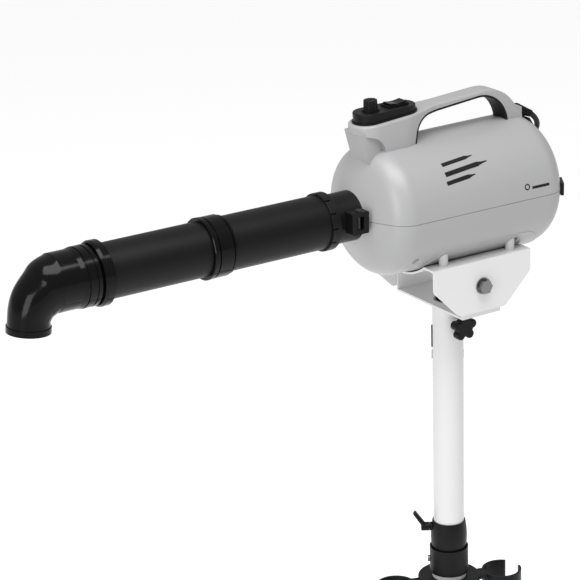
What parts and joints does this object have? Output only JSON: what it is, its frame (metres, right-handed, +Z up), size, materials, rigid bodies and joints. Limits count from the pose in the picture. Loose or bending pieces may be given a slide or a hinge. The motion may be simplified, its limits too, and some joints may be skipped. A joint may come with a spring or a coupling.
{
  "type": "stand dryer",
  "caption": "Canister blower with a carrying handle, tilting on a telescopic wheeled stand, with a long outlet tube that ends in a turned-down elbow.",
  "frame": {"origin": "on the floor, on the axis of the pole", "axes": "+Z up along the pole, outlet towards -X, blower axis along X"},
  "size_m": [1.0058, 0.5602, 1.3083],
  "materials": {
    "case_grey": "satin",
    "post_grey": "satin",
    "soft_black": "matte",
    "black_plastic": "satin",
    "gloss_black": "gloss",
    "tube_black": "satin",
    "white_paint": "powder coat",
    "steel": "satin",
    "motor_metal": "cast",
    "mica": "matte",
    "filter_foam": "foam",
    "lead_black": "satin",
    "wheel_black": "matte"
  },
  "bodies": {
    "stand": {"base_hub": "black_plastic", "base_legs": "white_paint", "leg_bolts": "steel", "lower_pole": "white_paint", "clamp_collar": "black_plastic", "collar_bolt": "steel", "tool_holder": "black_plastic", "clamp_sleeve": "black_plastic", "pole_bolt": "steel", "lead_on_stand": "lead_black", "lead_coil": "lead_black", "lead_tail": "lead_black", "mains_plug": "lead_black"},
    "mast": {"upper_pole": "white_paint", "hook_strip": "steel", "lead_clip": "black_plastic", "lead_on_pole": "lead_black"},
    "lever": {"clamp_lever": "black_plastic"},
    "knob": {"star_knob": "black_plastic"},
    "head": {"tilt_bracket": "white_paint", "head_spigot": "steel", "lead_on_head": "lead_black"},
    "blower": {"upper_shell": "case_grey", "lower_shell": "case_grey", "grip_liner": "soft_black", "case_screws": "steel", "control_box": "black_plastic", "motor": "motor_metal", "motor_mount": "black_plastic", "heater": "mica", "ioniser": "black_plastic", "inlet_filter": "filter_foam", "rear_cover": "black_plastic", "outlet_collar": "black_plastic", "collar_screw": "steel", "rear_tube": "tube_black", "front_tube": "tube_black", "tube_coupling": "gloss_black", "socket_ring": "gloss_black", "saddle": "white_paint", "saddle_posts": "post_grey", "saddle_screws": "steel", "pivot_bolts": "steel", "lead_gland": "lead_black", "lead_on_case": "lead_black"},
    "fan": {"impeller": "black_plastic"},
    "dial": {"speed_dial": "black_plastic"},
    "rocker": {"power_rocker": "gloss_black"},
    "elbow": {"nozzle_elbow": "gloss_black"},
    "caster_1": {"caster_fork_1": "steel"},
    "wheel_1": {"caster_wheel_1": "wheel_black"},
    "caster_2": {"caster_fork_2": "steel"},
    "wheel_2": {"caster_wheel_2": "wheel_black"},
    "caster_3": {"caster_fork_3": "steel"},
    "wheel_3": {"caster_wheel_3": "wheel_black"},
    "caster_4": {"caster_fork_4": "steel"},
    "wheel_4": {"caster_wheel_4": "wheel_black"},
    "caster_5": {"caster_fork_5": "steel"},
    "wheel_5": {"caster_wheel_5": "wheel_black"}
  },
  "joints": [
    {"name": "mast_slide", "type": "slide", "parent": "stand", "child": "mast", "axis": [0, 0, 1], "range_m": [-0.2, 0.22]},
    {"name": "lever_turn", "type": "hinge", "parent": "stand", "child": "lever", "pos_m": [-0.02902, 0.01957, 0.636], "axis": [-0.829, 0.5592, 0], "range_deg": [0, 120]},
    {"name": "knob_turn", "type": "hinge", "parent": "mast", "child": "knob", "pos_m": [0, -0.037, 0.96], "axis": [0, -1, 0], "continuous": true},
    {"name": "head_swivel", "type": "hinge", "parent": "mast", "child": "head", "pos_m": [0, 0, 0.9896], "axis": [0, 0, 1], "range_deg": [-90, 90]},
    {"name": "blower_tilt", "type": "hinge", "parent": "head", "child": "blower", "pos_m": [0, 0, 1.035], "axis": [0, 1, 0], "range_deg": [-30, 30]},
    {"name": "fan_spin", "type": "hinge", "parent": "blower", "child": "fan", "pos_m": [0.1, 0, 1.15], "axis": [1, 0, 0], "continuous": true},
    {"name": "dial_turn", "type": "hinge", "parent": "blower", "child": "dial", "pos_m": [-0.12869, 0, 1.29215], "axis": [-0.0262, 0, 0.9997], "range_deg": [-270, 0]},
    {"name": "rocker_tilt", "type": "hinge", "parent": "blower", "child": "rocker", "pos_m": [-0.0887, 0, 1.29319], "axis": [0, 1, 0], "range_deg": [-9, 9]},
    {"name": "elbow_turn", "type": "hinge", "parent": "blower", "child": "elbow", "pos_m": [-0.5745, 0, 1.15], "axis": [1, 0, 0], "continuous": true},
    {"name": "caster_swivel_1", "type": "hinge", "parent": "stand", "child": "caster_1", "pos_m": [0.27251, 0.09919, 0.07], "axis": [0, 0, 1], "continuous": true},
    {"name": "wheel_spin_1", "type": "hinge", "parent": "caster_1", "child": "wheel_1", "pos_m": [0.28851, 0.09919, 0.025], "axis": [0, 1, 0], "continuous": true},
    {"name": "caster_swivel_2", "type": "hinge", "parent": "stand", "child": "caster_2", "pos_m": [-0.01012, 0.28982, 0.07], "axis": [0, 0, 1], "continuous": true},
    {"name": "wheel_spin_2", "type": "hinge", "parent": "caster_2", "child": "wheel_2", "pos_m": [0.00588, 0.28982, 0.025], "axis": [0, 1, 0], "continuous": true},
    {"name": "caster_swivel_3", "type": "hinge", "parent": "stand", "child": "caster_3", "pos_m": [-0.27877, 0.07994, 0.07], "axis": [0, 0, 1], "continuous": true},
    {"name": "wheel_spin_3", "type": "hinge", "parent": "caster_3", "child": "wheel_3", "pos_m": [-0.26277, 0.07994, 0.025], "axis": [0, 1, 0], "continuous": true},
    {"name": "caster_swivel_4", "type": "hinge", "parent": "stand", "child": "caster_4", "pos_m": [-0.16217, -0.24042, 0.07], "axis": [0, 0, 1], "continuous": true},
    {"name": "wheel_spin_4", "type": "hinge", "parent": "caster_4", "child": "wheel_4", "pos_m": [-0.14617, -0.24042, 0.025], "axis": [0, 1, 0], "continuous": true},
    {"name": "caster_swivel_5", "type": "hinge", "parent": "stand", "child": "caster_5", "pos_m": [0.17854, -0.22852, 0.07], "axis": [0, 0, 1], "continuous": true},
    {"name": "wheel_spin_5", "type": "hinge", "parent": "caster_5", "child": "wheel_5", "pos_m": [0.19454, -0.22852, 0.025], "axis": [0, 1, 0], "continuous": true}
  ]
}
